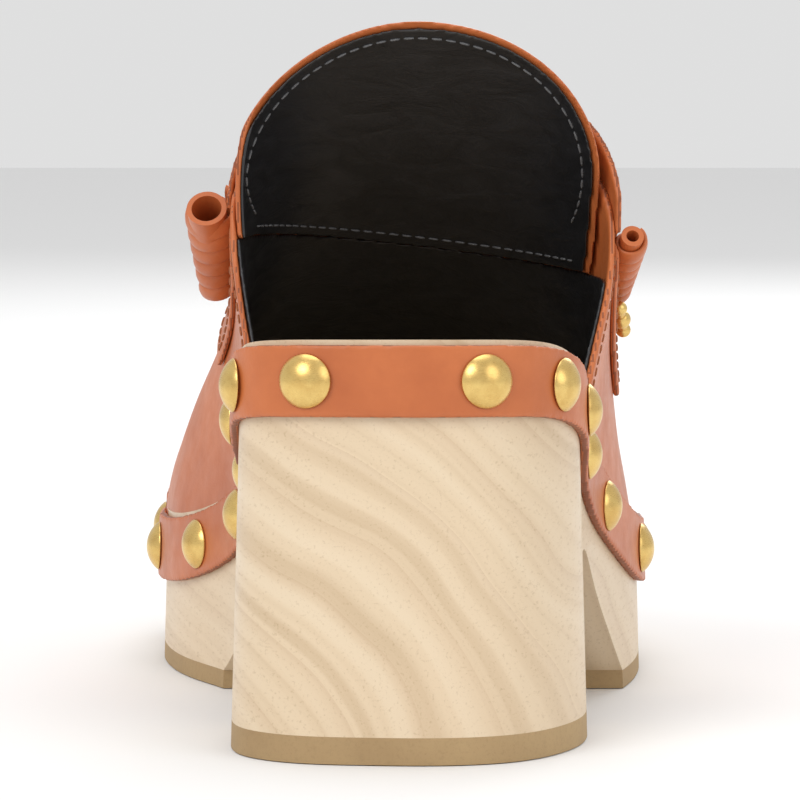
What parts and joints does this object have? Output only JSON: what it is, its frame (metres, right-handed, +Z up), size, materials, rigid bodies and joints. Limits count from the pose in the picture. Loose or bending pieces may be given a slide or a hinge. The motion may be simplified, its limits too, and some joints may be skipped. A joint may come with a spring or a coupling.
{
  "type": "wooden platform clog",
  "caption": "Heeled wooden platform clog mule, right foot, with a nailed leather band and a loafer upper with a saddle strap and high tongue.",
  "frame": {"origin": "middle of the heel's tread, on the ground", "axes": "+Y towards the toe, +X towards the outer (lateral) side of this right shoe, +Z up"},
  "size_m": [0.1166, 0.253, 0.1473],
  "materials": {
    "pale_wood": "satin",
    "tan_rubber": "matte",
    "tan_leather": "satin",
    "black_lining": "semi-gloss",
    "stiffener": "matte",
    "brass": "satin",
    "steel": "bright"
  },
  "bodies": {
    "root": {"wooden_sole": "pale_wood", "heel_lift": "tan_rubber", "forefoot_outsole": "tan_rubber", "heel_lift_nails": "steel", "lasting_tacks": "steel", "rand_band": "tan_leather", "studs_heel": "brass", "studs_inner": "brass", "studs_outer": "brass", "studs_toe": "brass", "vamp_wrap": "tan_leather", "vamp_plug": "tan_leather", "vamp_lining": "black_lining", "toe_puff": "stiffener", "tongue_outer": "tan_leather", "tongue_lining": "black_lining", "saddle_strap": "tan_leather", "strap_roll_inner": "tan_leather", "strap_roll_outer": "tan_leather", "roll_lacing_inner": "tan_leather", "roll_lacing_outer": "tan_leather", "strap_ornament": "brass"}
  },
  "joints": []
}
